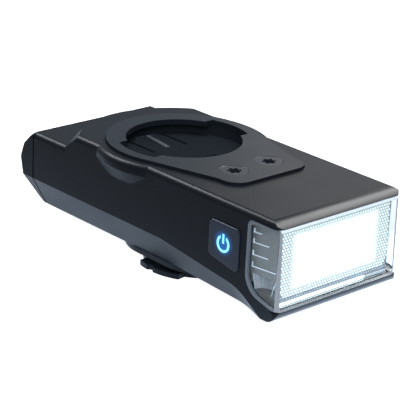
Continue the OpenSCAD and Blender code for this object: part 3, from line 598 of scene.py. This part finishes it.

# Button group: a hard key on the rider's right over a tact switch, with a lit sign moulded into it.
# The key is grained ABS; light from the sign's blue chip shines through it, and its spread on the
# face is painted as a blue glow.
button_abs = empty_material("button_ABS_painted_glow")
place = add_node(button_abs, "ShaderNodeTexCoord", {}).outputs["Object"]
sign_low, sign_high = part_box("button_symbol")
sign_mid = [(sign_low[i] + sign_high[i]) / 2 for i in range(3)]
reach = add_node(button_abs, "ShaderNodeVectorMath", {0: place, 1: sign_mid},
                 operation="DISTANCE").outputs["Value"]
fine = add_node(button_abs, "ShaderNodeTexNoise", {"Vector": place, "Scale": 1 / (0.4 * mm),
                                                   "Detail": 3.0})
tint = add_node(button_abs, "ShaderNodeMix", {"Factor": fine.outputs["Fac"], "A": linear("#0d1013"),
                                              "B": linear("#181d23")}, data_type="RGBA")
# Painted glow: the key's face emits blue round the sign, fading outwards.
halo = add_node(button_abs, "ShaderNodeMapRange", {
    "Value": reach, "From Min": 3.1 * mm, "From Max": 1.2 * mm, "To Max": 0.5},
    interpolation_type="SMOOTHSTEP")
veil = add_node(button_abs, "ShaderNodeMapRange", {
    "Value": reach, "From Min": 7.0 * mm, "From Max": 2.0 * mm, "To Max": 0.03})
shine = add_node(button_abs, "ShaderNodeMath", {
    0: halo.outputs["Result"], 1: veil.outputs["Result"]}, operation="ADD")
shader = add_node(button_abs, "ShaderNodeBsdfPrincipled", {
    "Base Color": tint.outputs["Result"], "Roughness": 0.38, "Specular IOR Level": 0.18, "IOR": 1.5,
    "Emission Color": linear("#1f7fe6"), "Emission Strength": shine.outputs[0]})
add_node(button_abs, "ShaderNodeOutputMaterial", {"Surface": shader.outputs[0]})
dress(moulded("button_cap", "side_button", 0.3, steps=3), button_abs, "button", "button_plastic",
      "side_button")

blue_light = empty_material("blue_light_guide")
place = add_node(blue_light, "ShaderNodeTexCoord", {}).outputs["Object"]
cloud = add_node(blue_light, "ShaderNodeTexNoise", {"Vector": place, "Scale": 1 / (1.2 * mm)})
heat = add_node(blue_light, "ShaderNodeMapRange", {"Value": cloud.outputs["Fac"], "To Min": 1.0,
                                                   "To Max": 1.5})
shader = add_node(blue_light, "ShaderNodeBsdfPrincipled", {
    "Base Color": linear("#123a55"), "Roughness": 0.3, "Emission Color": linear("#8cecff"),
    "Emission Strength": heat.outputs["Result"]})
add_node(blue_light, "ShaderNodeOutputMaterial", {"Surface": shader.outputs[0]})
dress(moulded("button_sign", "button_symbol", 0.03), blue_light, "button", "blue_light",
      "button_symbol")
coat(blue_light, "symbol_led")
black_pbt = grained_plastic("black_PBT", "#17181a", "#222427", 0.5, 0.3)
coat(black_pbt, "tact_switch")

# Mount plate, dock and spring tongues: a screwed-down plate over a cup with two sprung bumps.
# The plate is glass-filled nylon, satin; the cup and its tongues are one matt ABS moulding. A thin
# sloping rib along each tongue is glossier, and its lighter colour is a painted highlight.
filled_nylon = grained_plastic("glass_filled_nylon", "#13171a", "#1f252b", 0.38, 0.075)
dock_abs = grained_plastic("dock_ABS", "#1b1f22", "#272c30", 0.8, 0.0)
screw_x, screw_y, near_screw, plate_low = 15.0, 5.2, 3.46, 24.0
plate_holes = (lambda p: math.hypot(p.x - screw_x, abs(p.y) - screw_y) < near_screw
               and p.z > plate_low, 0.04, 1)
dress(moulded("dock_plate", "mount_plate", 0.3, steps=3, softer=(plate_holes,)), filled_nylon,
      "lamp", "plate_plastic", "mount_plate")
dress(moulded("dock_cup", "dock_base", 0.12), dock_abs, "lamp", "dock_plastic", "dock_base")
# Painted highlight: the sloping ribs are coloured lighter than the tongues.
ramp_painted_highlight = grained_plastic("dock_ABS_painted_highlight", "#2b3034", "#3c4247", 0.45, 0.2)
for end in ("front", "rear"):
    dress(moulded(end + "_spring", end + "_detent", 0.12), dock_abs, end + "_tongue",
          "dock_plastic", end + "_detent")
dock_x, ramp_start, ramp_len, ramp_half = -7.0, 5.8, 6.8, 0.55
ramp_low, ramp_toe, ramp_top = 22.5, 22.75, 23.45
for end, way in (("front", 1), ("rear", -1)):
    ramp = bmesh.new()
    for v in add_box(ramp, (-ramp_half, -ramp_half, ramp_low), (ramp_len, ramp_half, ramp_top)):
        if v.co.z > ramp_toe * mm and v.co.x < 0:
            v.co.z = ramp_toe * mm
        v.co.x = (dock_x + way * ramp_start) * mm + way * v.co.x
    bmesh.ops.recalc_face_normals(ramp, faces=ramp.faces)
    round_edges(ramp, ramp.edges[:], 0.08)
    dress(finished(end + "_ramp", ramp), ramp_painted_highlight, end + "_tongue", "dock_plastic")

# Plate screws: two countersunk screws with six-lobed sockets, in the plate's tail.
# Steel with a black oxide coat, darker than the plate, with a fine gap round each head.
black_oxide = grained_plastic("black_oxide_steel", "#15191d", "#232930", 0.40, 0.11, grain=0.3)
for side in ("left", "right"):
    dress(moulded("plate_screw_" + side + "_head", "plate_screw_" + side, 0.2), black_oxide, "lamp",
          "dark_steel", "plate_screw_" + side)

# Foot: the quarter-turn foot under the body, flange, spigot and two notched tabs in one moulding.
# Glass-filled nylon like the plate's, held by two plated screws from below.
dress(moulded("foot_bayonet", "quarter_turn_foot", 0.25), filled_nylon, "lamp", "foot_plastic",
      "quarter_turn_foot")
for end in ("front", "rear"):
    dress(moulded("foot_screw_" + end + "_head", "foot_screw_" + end, 0.06), zinc_steel, "lamp",
          "bright_steel", "foot_screw_" + end)
